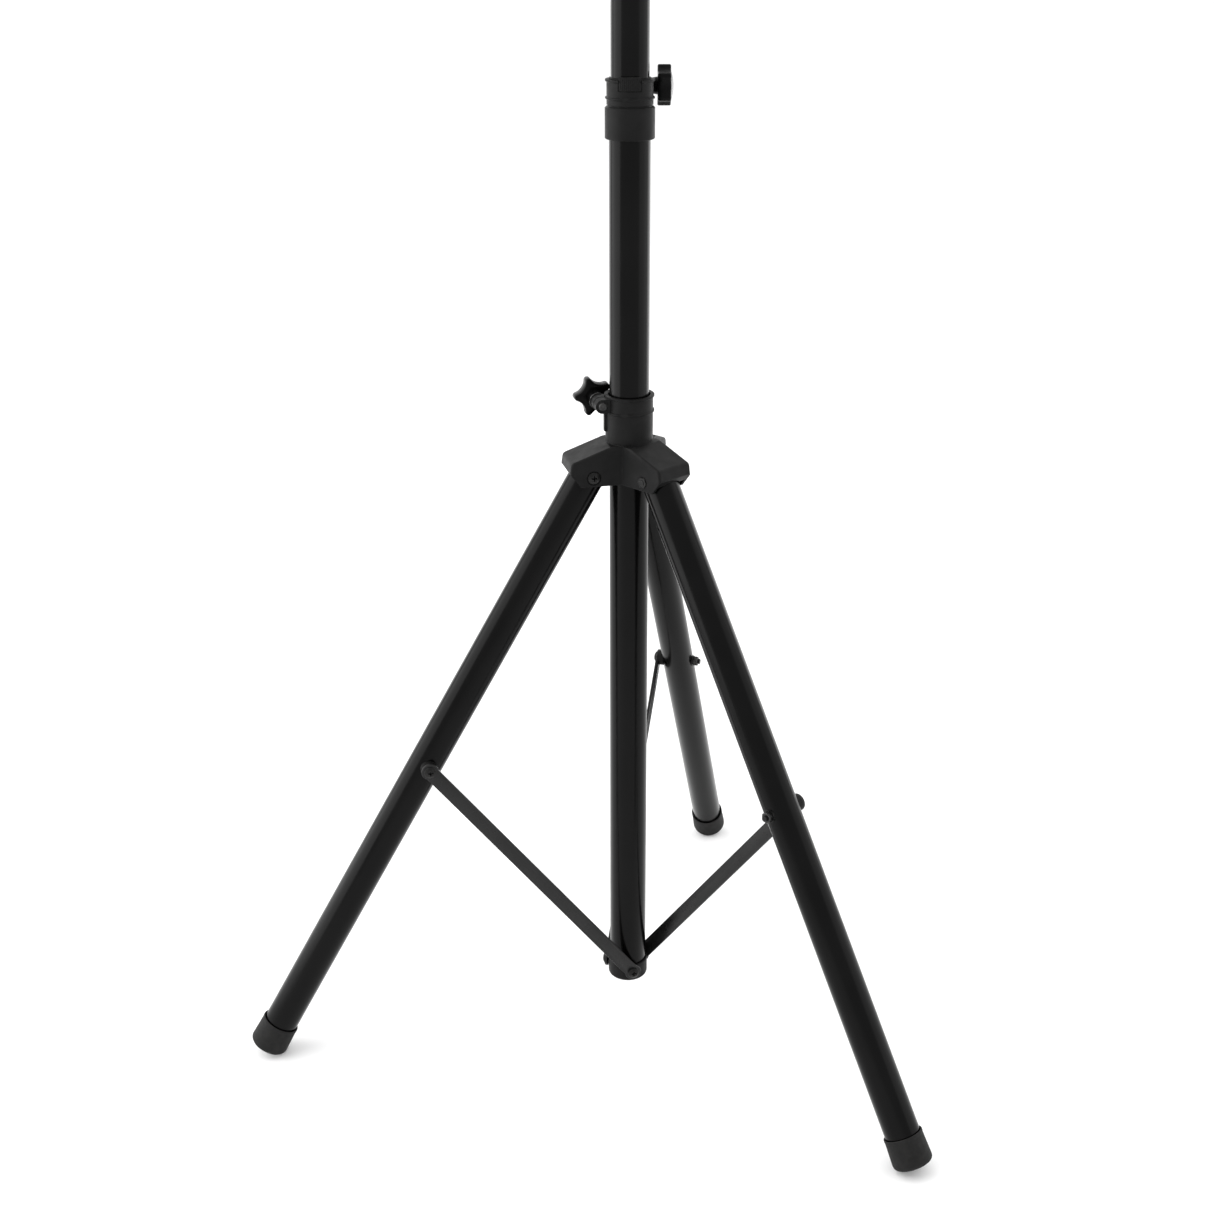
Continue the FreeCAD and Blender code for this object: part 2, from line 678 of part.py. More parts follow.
def build_hub():
    """The moulded crown: three arms round a core, with a split collar on top."""
    place = App.Placement(Z_AXIS * PIVOT_HEIGHT, App.Rotation())
    arms, spaces, holes = [], [], []
    for side, azimuth in LEGS.items():
        arms.append(hub_arm(side, azimuth))
        spaces.append(hub_channel(side, azimuth))
        lean = about_z(azimuth) * App.Rotation(Y_AXIS, 180 - SPLAY)
        x, y = polar(azimuth, "pivot_reach")
        spaces.append(cylinder(f"arch_{side}", "arch_radius", "arch_length", x, y, "0", lean))
        x, y = polar(azimuth, "pivot_reach", "-arm_half_width - 1")
        holes.append(cylinder(f"pivot_hole_{side}", "screw_radius", "arm_half_width * 2 + 2",
                              x, y, "0", sideways(azimuth)))
        x, y = polar(azimuth, "pivot_reach", "pivot_head_seat")
        holes.append(cylinder(f"head_pocket_{side}", "pocket_radius", "pocket_depth", x, y, "0",
                              sideways(azimuth)))
        x, y = polar(azimuth, "pivot_reach", "-pivot_nut_seat - pocket_depth")
        holes.append(hexagon(f"nut_pocket_{side}", "nut_across + 0.6", "pocket_depth", x, y, "0",
                             sideways(azimuth)))
    hollow_arms = cut("hub_arms", fuse("hub_arms_solid", arms), spaces)
    core = turned(
        "hub_core",
        [("0", "hub_low"), ("hub_core_radius", "hub_low"),
         ("hub_core_radius", "roof_inner_height - roof_thick"),
         ("hub_radius", "roof_inner_height - roof_thick"),
         ("hub_radius", "hub_bead - 1.3"), ("hub_rim_radius", "hub_bead - 0.6"),
         ("hub_rim_radius", "hub_bead + 0.6"), ("hub_radius", "hub_bead + 1.3"),
         ("hub_radius", "hub_high - 2.6"), ("hub_rim_radius", "hub_high - 1.7"),
         ("hub_rim_radius", "hub_high"), ("0", "hub_high")],
        [("Fillet", "0.4", "hub_rim_radius", "hub_high")],
    )
    ears, tools = clamp_ears("hub", HUB_CLAMP_AZIMUTH, "hub_bolt_height", "hub_radius - 2")
    x, y = polar(HUB_CLAMP_AZIMUTH, "hub_radius - 2", "-gusset_thick / 2")
    gusset = box("hub_gusset", ("gusset_length", "gusset_thick", "gusset_height"), x, y,
                 "hub_bead - gusset_height - 1.5",
                 about_z(HUB_CLAMP_AZIMUTH))
    bore = cylinder("hub_bore_tool", "hub_bore", "hub_high - hub_low + 2", z="hub_low - 1")
    blank = fuse("hub_blank", [hollow_arms, core, gusset] + ears)
    keep(cut("hub_crown", blank, holes + tools + [bore]), "hub_crown", place)

    bush = ring("hub_bush_ring", "hub_bore", "tube_radius + 0.08", "hub_bush_low",
                "hub_bush_high")
    x, y = polar(HUB_CLAMP_AZIMUTH, "slit_start", "-slit / 2")
    split = box("hub_bush_split", ("split_reach", "slit", "hub_high"), x, y, "0",
                about_z(HUB_CLAMP_AZIMUTH))
    keep(cut("hub_bush", bush, [split]), "hub_bush", place)
    build_clamp_screw("hub", HUB_CLAMP_AZIMUTH, "hub_bolt_height", place)
    for side, azimuth in LEGS.items():
        build_pivot_screw(side, azimuth)


def build_pivot_screw(side, azimuth):
    """The screw that a leg turns on and its nut, both held by the crown's side walls."""
    across = App.Placement(leg_place(azimuth).Base, sideways(azimuth))
    screw = pan_head_screw(f"{side}_pivot_screw", "pivot_head_seat",
                           "-pivot_nut_seat - thin_nut - 0.8")
    keep(screw, f"{side}_pivot_screw", across)
    blank = hexagon(f"{side}_pivot_nut_blank", "nut_across", "thin_nut",
                    z="-pivot_nut_seat - thin_nut")
    bore = cylinder(f"{side}_pivot_nut_bore", "screw_radius", "thin_nut",
                    z="-pivot_nut_seat - thin_nut")
    keep(cut(f"{side}_pivot_nut", blank, [bore]), f"{side}_pivot_nut", across)


# ---------------------------------------------------------------- legs and straps

def build_leg(side, azimuth):
    """A leg tube with its top plug and rubber foot, and the bolt that carries the strap."""
    place = leg_place(azimuth)
    tube_end = "-leg_length + foot_floor"
    inner = "leg_radius - leg_wall"

    def across(name, radius, height):
        return cylinder(name, radius, "leg_radius * 2 + 2", y="-leg_radius - 1", z=height,
                        turn=ALONG_Y)

    wall = cylinder(f"{side}_tube_wall", "leg_radius", "leg_length - foot_floor + leg_top",
                    z=tube_end)
    bore = cylinder(f"{side}_tube_bore", inner, "leg_length - foot_floor + leg_top", z=tube_end)
    holes = [across(f"{side}_tube_pivot", "screw_radius + pivot_gap", "0"),
             across(f"{side}_tube_bolt", "screw_radius", "-strap_bolt_drop")]
    keep(cut(f"{side}_leg_tube", wall, [bore] + holes), f"{side}_leg_tube", place)

    plug = cylinder(f"{side}_plug_blank", inner, "leg_plug_length",
                    z="leg_top - leg_plug_length")
    hole = across(f"{side}_plug_pivot", "screw_radius + pivot_gap", "0")
    keep(cut(f"{side}_leg_plug", plug, [hole]), f"{side}_leg_plug", place)

    foot = turned(
        f"{side}_foot",
        [("0", "-leg_length"), ("foot_radius", "-leg_length"),
         ("foot_mouth", "-leg_length + foot_length"),
         ("leg_radius", "-leg_length + foot_length"), ("leg_radius", tube_end),
         ("0", tube_end)],
        [("Fillet", "foot_round", "foot_radius", "-leg_length"),
         ("Chamfer", "foot_rim", "leg_radius", "-leg_length + foot_length"),
         ("Fillet", "foot_rim", "foot_mouth", "-leg_length + foot_length")],
    )
    keep(foot, f"{side}_foot", place)

    bolt_line = App.Placement(Vector(0, 0, -SIZES["strap_bolt_drop"]), ALONG_Y)
    bolt_place = place.multiply(bolt_line)
    # in the bolt's own frame Z runs along the bolt, and the leg runs along Y
    along_leg = App.Rotation(X_AXIS, -90)

    def less_leg(name, blank):
        leg = cylinder(name + "_leg", "leg_radius", "60", y="-30", turn=along_leg)
        hole = cylinder(name + "_hole", "screw_radius", "60", z="-30")
        return cut(name, blank, [leg, hole])

    blank = cylinder(f"{side}_saddle_blank", "saddle_radius",
                     "strap_near - 2 * face_gap - leg_radius + 5", z="leg_radius - 5")
    keep(less_leg(f"{side}_saddle", blank), f"{side}_saddle", bolt_place)
    blank = cylinder(f"{side}_washer_blank", "leg_washer_radius", "leg_washer_thick + 3",
                     z="-leg_radius - leg_washer_thick")
    keep(less_leg(f"{side}_bolt_washer", blank), f"{side}_bolt_washer", bolt_place)

    nut_face = "-leg_radius - leg_washer_thick"
    bolt = pan_head_screw(f"{side}_strap_bolt", "strap_near + strap_thick + face_gap",
                          f"{nut_face} - nut_thick - screw_tip")
    keep(bolt, f"{side}_strap_bolt", bolt_place)
    blank = hexagon(f"{side}_bolt_nut_blank", "nut_across", "nut_thick",
                    z=f"{nut_face} - nut_thick")
    bore = cylinder(f"{side}_bolt_nut_bore", "screw_radius", "nut_thick",
                    z=f"{nut_face} - nut_thick")
    keep(cut(f"{side}_bolt_nut", blank, [bore]), f"{side}_bolt_nut", bolt_place)


def build_strap(side, azimuth):
    """A flat brace with an eye at each end, and the screw in its lower eye."""
    place = strap_place(azimuth)
    bar = box(f"{side}_strap_bar", ("strap_width", "strap_thick", "strap_length"),
              "-strap_width / 2", "strap_near", "-strap_length")
    eyes = [
        cylinder(f"{side}_strap_eye_{end}", "strap_eye", "strap_thick", y="strap_near",
                 z=height, turn=ALONG_Y)
        for end, height in (("high", "0"), ("low", "-strap_length"))
    ]
    holes = [
        cylinder(f"{side}_strap_hole_{end}", radius, "strap_thick + 2",
                 y="strap_near - 1", z=height, turn=ALONG_Y)
        for end, height, radius in (("high", "0", "screw_radius + pivot_gap"),
                                    ("low", "-strap_length", "screw_radius"))
    ]
    keep(cut(f"{side}_strap", fuse(f"{side}_strap_blank", [bar] + eyes), holes),
         f"{side}_strap", place)
    low_end = App.Placement(Vector(0, 0, -SIZES["strap_length"]), ALONG_Y)
    screw = pan_head_screw(f"{side}_strap_screw", "strap_near + strap_thick", "strap_near")
    keep(screw, f"{side}_strap_screw", place.multiply(low_end))


# ---------------------------------------------------------------- the stand

def check():
    """Stop if any object failed, or if a sub-part is not a valid solid."""
    for obj in doc.Objects:
        if {"Invalid", "Error"} & set(obj.State):
            raise ValueError(f"{obj.Name} failed: {obj.State}")
    for obj in pieces:
        shape = obj.Shape
        if shape.isNull() or not shape.isValid() or shape.Volume <= 0:
            raise ValueError(f"{obj.Label} is not a valid solid")


def export():
    os.makedirs("parts", exist_ok=True)
    for obj in pieces:
        obj.Shape.exportStep(f"parts/{obj.Label}.step")


build_column()
build_collar()
build_pole()
build_hub()
for leg_side, leg_azimuth in LEGS.items():
    build_leg(leg_side, leg_azimuth)
    build_strap(leg_side, leg_azimuth)
doc.recompute()
check()
export()
print(f"{len(pieces)} sub-parts, pivots at {PIVOT_HEIGHT:.3f} mm")
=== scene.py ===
"""Speaker tripod stand: looks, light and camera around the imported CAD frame. Lengths are metres."""
import json
from math import asin, atan2, cos, pi, radians, sin, sqrt

import bmesh
import bpy
from mathutils import Matrix, Vector


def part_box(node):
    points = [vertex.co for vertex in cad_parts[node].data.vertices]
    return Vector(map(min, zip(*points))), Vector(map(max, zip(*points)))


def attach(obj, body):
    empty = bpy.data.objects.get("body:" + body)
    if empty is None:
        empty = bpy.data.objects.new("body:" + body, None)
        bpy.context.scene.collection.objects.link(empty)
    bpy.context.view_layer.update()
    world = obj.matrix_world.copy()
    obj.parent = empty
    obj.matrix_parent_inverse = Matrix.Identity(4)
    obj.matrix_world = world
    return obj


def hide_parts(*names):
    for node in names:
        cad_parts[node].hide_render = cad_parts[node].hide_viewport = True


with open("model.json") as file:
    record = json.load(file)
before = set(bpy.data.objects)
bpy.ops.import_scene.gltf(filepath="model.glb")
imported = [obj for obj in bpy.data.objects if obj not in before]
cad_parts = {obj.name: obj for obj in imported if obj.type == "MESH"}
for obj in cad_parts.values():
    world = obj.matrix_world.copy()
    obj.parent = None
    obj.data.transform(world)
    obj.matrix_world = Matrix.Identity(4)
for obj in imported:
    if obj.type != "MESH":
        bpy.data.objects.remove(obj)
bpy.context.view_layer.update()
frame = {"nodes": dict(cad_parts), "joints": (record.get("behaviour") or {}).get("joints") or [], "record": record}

MM = 0.001
SIDES = ("back", "left", "right")
SMOOTH_BELOW = radians(32)  # sharper edges than this stay creased
scene = bpy.context.scene


# ---------------------------------------------------------------- node graphs

class Graph:
    """A material's node tree, with short calls for the nodes used here."""

    def __init__(self, name):
        self.material = bpy.data.materials.new(name)
        self.material.use_nodes = True
        self.tree = self.material.node_tree
        self.tree.nodes.clear()
        self.output = self.add("ShaderNodeOutputMaterial")
        self.shader = self.add("ShaderNodeBsdfPrincipled")
        self.link(self.shader.outputs[0], self.output.inputs["Surface"])
        self.coords = self.add("ShaderNodeTexCoord")

    def add(self, kind, **settings):
        node = self.tree.nodes.new(kind)
        for key, value in settings.items():
            setattr(node, key, value)
        return node

    def link(self, source, target):
        self.tree.links.new(source, target)

    def plug(self, value, target):
        """Link a socket, or set a number or colour."""
        if isinstance(value, bpy.types.NodeSocket):
            self.link(value, target)
        else:
            target.default_value = value

    def stretched(self, scale):
        """Object coordinates scaled along each axis."""
        node = self.add("ShaderNodeMapping")
        self.link(self.coords.outputs["Object"], node.inputs["Vector"])
        node.inputs["Scale"].default_value = scale
        return node.outputs["Vector"]

    def noise(self, scale, detail=3.0, roughness=0.55, vector=None):
        node = self.add("ShaderNodeTexNoise")
        self.link(vector or self.coords.outputs["Object"], node.inputs["Vector"])
        node.inputs["Scale"].default_value = scale
        node.inputs["Detail"].default_value = detail
        node.inputs["Roughness"].default_value = roughness
        return node.outputs["Fac"]

    def span(self, value, low, high, to_low=0.0, to_high=1.0):
        """A value mapped from one range to another and clamped."""
        node = self.add("ShaderNodeMapRange")
        self.plug(value, node.inputs["Value"])
        for socket, number in zip(("From Min", "From Max", "To Min", "To Max"),
                                  (low, high, to_low, to_high)):
            node.inputs[socket].default_value = number
        return node.outputs["Result"]

    def math(self, operation, a, b):
        node = self.add("ShaderNodeMath", operation=operation)
        self.plug(a, node.inputs[0])
        self.plug(b, node.inputs[1])
        return node.outputs[0]

    def blend(self, share, a, b):
        """Colour a turning into colour b as share goes from 0 to 1."""
        node = self.add("ShaderNodeMix", data_type="RGBA")
        self.plug(share, node.inputs["Factor"])
        self.plug(a, node.inputs["A"])
        self.plug(b, node.inputs["B"])
        return node.outputs["Result"]

    def soft_normal(self, radius):
        """The surface normal with edges rounded off."""
        node = self.add("ShaderNodeBevel", samples=4)
        node.inputs["Radius"].default_value = radius
        return node.outputs["Normal"]

    def edges(self, width):
        """1 along outer and inner edges within a width of them, 0 on open faces."""
        soft = self.soft_normal(width)
        geometry = self.add("ShaderNodeNewGeometry")
        dot = self.add("ShaderNodeVectorMath", operation="DOT_PRODUCT")
        self.link(soft, dot.inputs[0])
        self.link(geometry.outputs["Normal"], dot.inputs[1])
        return self.span(dot.outputs["Value"], 0.995, 0.86)

    def bump(self, heights, edge_round):
        """Bumps laid one on the other over rounded edges: (height, distance in metres) each."""
        normal = self.soft_normal(edge_round)
        for height, distance in heights:
            node = self.add("ShaderNodeBump")
            node.inputs["Distance"].default_value = distance
            self.plug(height, node.inputs["Height"])
            self.link(normal, node.inputs["Normal"])
            normal = node.outputs["Normal"]
        self.link(normal, self.shader.inputs["Normal"])


def grey(level, warmth=0.0):
    """A near-neutral colour. Positive warmth leans to yellow."""
    return (level * (1 + warmth), level, level * (1 - warmth), 1.0)


def finish_material(name, base, pale, mottle, rough, rough_span, grain, peel, worn_and_highlight, scuffs,
                    dust, specular, edge_round=0.3 * MM, metallic=0.0, along=1.0):
    """One finish: mottled colour, uneven gloss, grain and orange-peel bumps, edge wear lightened also as a painted
    highlight on rims, and scuffs.

    mottle is the size of a patch in mm, and grain and peel are (size of a cell, depth) in mm.
    rough_span is how far the roughness strays each way. worn_and_highlight is the colour of the edges, part edge
    wear and part painted highlight on rounded rims, and scuffs and dust are strengths. along stretches the scuffs
    down the piece's own Z axis."""
    g = Graph(name)
    patches = g.noise(1 / (mottle * MM), detail=4.0)
    colour = g.blend(g.span(patches, 0.35, 0.7), base, pale)
    cells = g.noise(1 / (grain[0] * MM), detail=2.0)
    gloss_patch = mottle * 0.37 * MM
    roughness = g.span(g.noise(1 / gloss_patch), 0.3, 0.7, rough - rough_span, rough + rough_span)

    line_width, scuffed_area, scuff_gain, scuff_roughness = 1.1 * MM, 34 * MM, 2.2, 0.18
    lines = g.noise(1 / line_width, detail=5.0, roughness=0.7,
                    vector=g.stretched((1.0, 1.0, 1.0 / along)))
    where = g.span(g.noise(1 / scuffed_area), 0.5, 0.68)
    mark = g.math("MULTIPLY", g.math("MULTIPLY", g.span(lines, 0.64, 0.74), where), scuffs)
    colour = g.blend(mark, colour, grey(pale[1] * scuff_gain))
    roughness = g.math("ADD", roughness, g.math("MULTIPLY", mark, scuff_roughness))

    # painted highlight: edges are lightened towards the worn colour, part edge wear and part a stand-in for
    # highlights on rounded rims
    rub_and_highlight_width, rub_and_highlight_patch, rub_and_highlight_strength = 0.7 * MM, 6 * MM, 0.7
    rub_and_highlight = g.math("MULTIPLY", g.edges(rub_and_highlight_width), g.span(g.noise(1 / rub_and_highlight_patch), 0.42, 0.66))
    colour = g.blend(g.math("MULTIPLY", rub_and_highlight, rub_and_highlight_strength), colour, worn_and_highlight)

    dust_patch, dust_colour, dust_roughness = 12 * MM, grey(0.16, 0.06), 0.3
    up = g.add("ShaderNodeSeparateXYZ")
    g.link(g.coords.outputs["Normal"], up.inputs[0])
    settled = g.math("MULTIPLY", g.span(up.outputs["Z"], 0.2, 0.95),
                     g.span(g.noise(1 / dust_patch, detail=5.0), 0.35, 0.75))
    settled = g.math("MULTIPLY", settled, dust)
    colour = g.blend(settled, colour, dust_colour)
    roughness = g.math("ADD", roughness, g.math("MULTIPLY", settled, dust_roughness))

    g.plug(colour, g.shader.inputs["Base Color"])
    g.plug(roughness, g.shader.inputs["Roughness"])
    g.shader.inputs["Metallic"].default_value = metallic
    g.shader.inputs["Specular IOR Level"].default_value = specular
    wave = g.noise(1 / (peel[0] * MM), detail=1.0)
    g.bump([(wave, peel[1] * MM), (cells, grain[1] * MM)], edge_round)
    return g.material


FINISH = {
    "tube_coat": finish_material(
        "satin_powder_coat", grey(0.0008), grey(0.0020), 70, 0.20, 0.04,
        grain=(0.5, 0.003), peel=(2.8, 0.008), worn_and_highlight=grey(0.06), scuffs=0.08, dust=0.02,
        specular=0.11, along=18.0),
    "hub_plastic": finish_material(
        "textured_nylon", grey(0.0055), grey(0.0090), 24, 0.48, 0.05,
        grain=(0.42, 0.030), peel=(3.4, 0.015), worn_and_highlight=grey(0.040), scuffs=0.12, dust=0.02,
        edge_round=1.2 * MM, specular=0.09),
    "knob_plastic": finish_material(
        "black_knob_plastic", grey(0.0012), grey(0.0026), 16, 0.30, 0.05,
        grain=(0.55, 0.015), peel=(3.0, 0.010), worn_and_highlight=grey(0.05), scuffs=0.15, dust=0.03,
        edge_round=0.4 * MM, specular=0.08),
    "knob_cap": finish_material(
        "smooth_cap_plastic", grey(0.014), grey(0.019), 14, 0.25, 0.04,
        grain=(0.8, 0.004), peel=(5.0, 0.008), worn_and_highlight=grey(0.04), scuffs=0.2, dust=0.04,
        edge_round=0.4 * MM, specular=0.5),
    "nylon": finish_material(
        "plain_nylon", grey(0.0045), grey(0.0075), 12, 0.45, 0.06,
        grain=(0.6, 0.012), peel=(3.0, 0.012), worn_and_highlight=grey(0.03), scuffs=0.15, dust=0.02,
        edge_round=0.35 * MM, specular=0.10),
    "rubber": finish_material(
        "moulded_rubber", grey(0.0065), grey(0.0110, 0.03), 9, 0.66, 0.06,
        grain=(0.35, 0.025), peel=(2.2, 0.015), worn_and_highlight=grey(0.035, 0.04), scuffs=0.25, dust=0.08,
        edge_round=0.3 * MM, specular=0.18),
    "strap_coat": finish_material(
        "strap_powder_coat", grey(0.0055), grey(0.0090), 40, 0.30, 0.05,
        grain=(0.5, 0.006), peel=(2.4, 0.010), worn_and_highlight=grey(0.08), scuffs=0.2, dust=0.04,
        specular=0.26, along=18.0),
    "black_steel": finish_material(
        "black_oxide_steel", grey(0.004), grey(0.009, 0.03), 3, 0.32, 0.06,
        grain=(0.3, 0.008), peel=(1.5, 0.008), worn_and_highlight=grey(0.10), scuffs=0.3, dust=0.04,
        edge_round=0.15 * MM, specular=0.15),
    "plated_steel": finish_material(
        "dull_zinc_steel", grey(0.028), grey(0.045, 0.02), 3, 0.36, 0.07,
        grain=(0.3, 0.010), peel=(1.5, 0.008), worn_and_highlight=grey(0.36), scuffs=0.4, dust=0.05,
        edge_round=0.15 * MM, metallic=0.9, specular=0.5),
}
SLOT_OF = {part["node"]: part["material_slot"] for part in frame["record"]["subparts"]}
BODY_OF = {node: body for body, nodes in frame["record"]["behaviour"]["bodies"].items()
           for node in nodes}
JOINT = {joint["name"]: joint for joint in frame["joints"]}


# ---------------------------------------------------------------- places and sizes of CAD nodes

def framed(origin, z_axis, y_axis):
    """A place from its origin, its Z axis and the rough direction of its Y axis."""
    z = z_axis.normalized()
    x = y_axis.cross(z).normalized()
    y = z.cross(x)
    turn = Matrix((x, y, z)).transposed().to_4x4()
    return Matrix.Translation(origin) @ turn


def local_points(node, place):
    """A CAD node's vertices in a local frame."""
    back = place.inverted()
    return [back @ v.co for v in frame["nodes"][node].data.vertices]


def extent(node, place):
    """Lowest and highest corner of a CAD node in a local frame."""
    points = local_points(node, place)
    low = Vector(min(p[i] for p in points) for i in range(3))
    high = Vector(max(p[i] for p in points) for i in range(3))
    return low, high


def outermost(node, place):
    """Distance and azimuth of a CAD node's outermost vertex about the frame's Z axis."""
    return max((p.xy.length, atan2(p.y, p.x)) for p in local_points(node, place))


def centre(node):
    """Middle of a CAD node's box."""
    low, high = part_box(node)
    return (low + high) / 2


# ---------------------------------------------------------------- mesh building

def rounded(corners):
    """A profile from (radius, height) or (radius, height, fillet) corners, arcs as short chords."""
    steps = 5
    points = []
    count = len(corners)
    for i, corner in enumerate(corners):
        here = Vector(corner[:2])
        fillet = corner[2] if len(corner) > 2 else 0.0
        if not fillet:
            points.append(here)
            continue
        to_last = (Vector(corners[i - 1][:2]) - here).normalized()
        to_next = (Vector(corners[(i + 1) % count][:2]) - here).normalized()
        half = to_last.angle(to_next) / 2
        middle = here + (to_last + to_next).normalized() * (fillet / sin(half))
        start = here + to_last * (fillet / (sin(half) / cos(half))) - middle
        end = here + to_next * (fillet / (sin(half) / cos(half))) - middle
        turn = start.angle_signed(end)
        for step in range(steps + 1):
            points.append(middle + Matrix.Rotation(-turn * step / steps, 2) @ start)
    return points


def lathe(profile, segments=96, closed=False):
    """A mesh turned about Z. A closed profile goes round a wall and doesn't touch the axis."""
    mesh = bmesh.new()
    rings = []
    for radius, height in profile:
        if radius < 1e-6:
            rings.append([mesh.verts.new((0, 0, height))] * segments)
            continue
        rings.append([
            mesh.verts.new((radius * cos(2 * pi * k / segments),
                            radius * sin(2 * pi * k / segments), height))
            for k in range(segments)
        ])
    pairs = list(zip(rings, rings[1:]))
    if closed:
        pairs.append((rings[-1], rings[0]))
    for low, high in pairs:
        for k in range(segments):
            n = (k + 1) % segments
            corners = [low[k], low[n], high[n], high[k]]
            unique = [v for i, v in enumerate(corners) if v not in corners[:i]]
            if len(unique) > 2:
                mesh.faces.new(unique)
    bmesh.ops.recalc_face_normals(mesh, faces=mesh.faces)
    return mesh


def layered(rings):
    """A solid skinned over rings of equal count, closed by a face at each end."""
    mesh = bmesh.new()
    loops = [[mesh.verts.new(p) for p in ring] for ring in rings]
    for low, high in zip(loops, loops[1:]):
        for k in range(len(low)):
            n = (k + 1) % len(low)
            mesh.faces.new((low[k], low[n], high[n], high[k]))
    mesh.faces.new(reversed(loops[0]))
    mesh.faces.new(loops[-1])
    bmesh.ops.recalc_face_normals(mesh, faces=mesh.faces)
    return mesh


def shaded(mesh):
    """Smooth shading, creased along the sharp edges."""
    mesh.polygons.foreach_set("use_smooth", [True] * len(mesh.polygons))
    mesh.set_sharp_from_angle(angle=SMOOTH_BELOW)
    mesh.update()


def piece(name, build, place, node, replaced=True):
    """A shown piece that rides and is finished as a CAD node, and usually stands for it."""
    mesh = bpy.data.meshes.new(name)
    build.to_mesh(mesh)
    build.free()
    shaded(mesh)
    mesh.materials.append(FINISH[SLOT_OF[node]])
    made = bpy.data.objects.new(name, mesh)
    scene.collection.objects.link(made)
    made.matrix_world = place
    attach(made, BODY_OF[node])
    if replaced:
        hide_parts(node)
    return made


def carve(build, tools):
    """The bmesh less each tool bmesh."""
    def holder(part):
        mesh = bpy.data.meshes.new("carving")
        part.to_mesh(mesh)
        part.free()
        made = bpy.data.objects.new("carving", mesh)
        scene.collection.objects.link(made)
        return made

    body = holder(build)
    cutters = [holder(tool) for tool in tools]
    for cutter in cutters:
        modifier = body.modifiers.new("cut", "BOOLEAN")
        modifier.operation = "DIFFERENCE"
        modifier.solver = "EXACT"
        modifier.object = cutter
    bpy.context.view_layer.update()
    evaluated = body.evaluated_get(bpy.context.evaluated_depsgraph_get())
    result = bmesh.new()
    result.from_mesh(evaluated.to_mesh())
    evaluated.to_mesh_clear()
    for thing in [body] + cutters:
        old = thing.data
        bpy.data.objects.remove(thing)
        bpy.data.meshes.remove(old)
    return result


# ---------------------------------------------------------------- tubes

TUBE_WALL = 1.5 * MM


def build_tube(node, place, groove=None):
    """An open tube with its cut ends broken, and a shallow groove if (middle, width, depth)."""
    low, high = extent(node, place)
    radius = high.x
    ends = 0.4 * MM
    outside = [(radius, low.z, ends)]
    if groove:
        middle, width, depth = groove
        outside += [(radius, middle - width / 2), (radius - depth, middle - width / 2 + depth / 2),
                    (radius - depth, middle + width / 2 - depth / 2), (radius, middle + width / 2)]
    outside += [(radius, high.z, ends)]
    inside = [(radius - TUBE_WALL, high.z, ends), (radius - TUBE_WALL, low.z, ends)]
    shell = lathe(rounded(outside + inside), segments=128, closed=True)
    piece(node + "_wall", shell, place, node)


def leg_frame(side):
    """Z up along the leg, Y along its pivot, with the origin on the pivot."""
    pivot = Vector(JOINT[f"{side}_leg_fold"]["pos_m"])
    bolt = Vector(JOINT[f"{side}_brace_fold"]["pos_m"])
    return framed(pivot, pivot - bolt, Vector(JOINT[f"{side}_leg_fold"]["axis"]))


def strap_frame(side):
    """Z up along the strap, Y along its bolts, with the origin on the leg's bolt."""
    bolt = Vector(JOINT[f"{side}_brace_fold"]["pos_m"])
    axis = Vector(JOINT[f"{side}_brace_fold"]["axis"])
    low = centre(f"{side}_strap_screw")
    low -= axis * (low - bolt).dot(axis)
    return framed(bolt, bolt - low, axis), (bolt - low).length


# ---------------------------------------------------------------- feet

def build_foot(side):
    """A moulded foot: rounded sole with a ring of tread, and a rolled lip at the mouth."""
    place = leg_frame(side)
    low, high = extent(f"{side}_foot", place)
    radius = high.x
    leg_radius = extent(f"{side}_leg_tube", place)[1].x
    mouth = leg_radius + 1.9 * MM
    lip_step, lip_start = 0.25 * MM, 3.0 * MM
    socket_radius = leg_radius - 0.3 * MM
    socket_floor = low.z + 6 * MM
    tread_depth = 0.8 * MM
    profile = rounded([
        (0.0, low.z + tread_depth), (radius * 0.34, low.z + tread_depth), (radius * 0.36, low.z),
        (radius * 0.66, low.z), (radius * 0.68, low.z + 0.7 * MM), (radius * 0.70, low.z),
        (radius, low.z, 5.0 * MM), (mouth - lip_step, high.z - lip_start - 0.4 * MM, 0.3 * MM),
        (mouth, high.z - lip_start + 0.4 * MM, 0.3 * MM), (mouth, high.z, 0.7 * MM),
        (leg_radius + 0.8 * MM, high.z, 0.4 * MM),
        (leg_radius + 0.4 * MM, high.z - 2.2 * MM), (socket_radius, high.z - 2.4 * MM),
        (socket_radius, socket_floor), (0.0, socket_floor),
    ])
    piece(f"{side}_foot_boot", lathe(profile), place, f"{side}_foot")


# ---------------------------------------------------------------- screws and nuts

HEAD_HEIGHT, SHANK_RADIUS = 3.0 * MM, 3.0 * MM
RECESS_DEPTH, RECESS_LENGTH, RECESS_WIDTH = 3.6 * MM, 6.4 * MM, 1.8 * MM


def cross_cutter(top):
    """A tapered cross that cuts the recess of a pan head whose crown is at top."""
    arms = []
    for quarter in range(2):
        ring_low, ring_high = [], []
        for x, y in ((1, 1), (-1, 1), (-1, -1), (1, -1)):
            ring_low.append(Vector((x * RECESS_LENGTH * 0.14, y * RECESS_WIDTH * 0.34,
                                    top - RECESS_DEPTH)))
            ring_high.append(Vector((x * RECESS_LENGTH * 0.52, y * RECESS_WIDTH * 0.55,
                                     top + 0.5 * MM)))
        turn = Matrix.Rotation(pi / 2 * quarter, 3, "Z")
        arms.append(layered([[turn @ p for p in ring_low], [turn @ p for p in ring_high]]))
    return arms


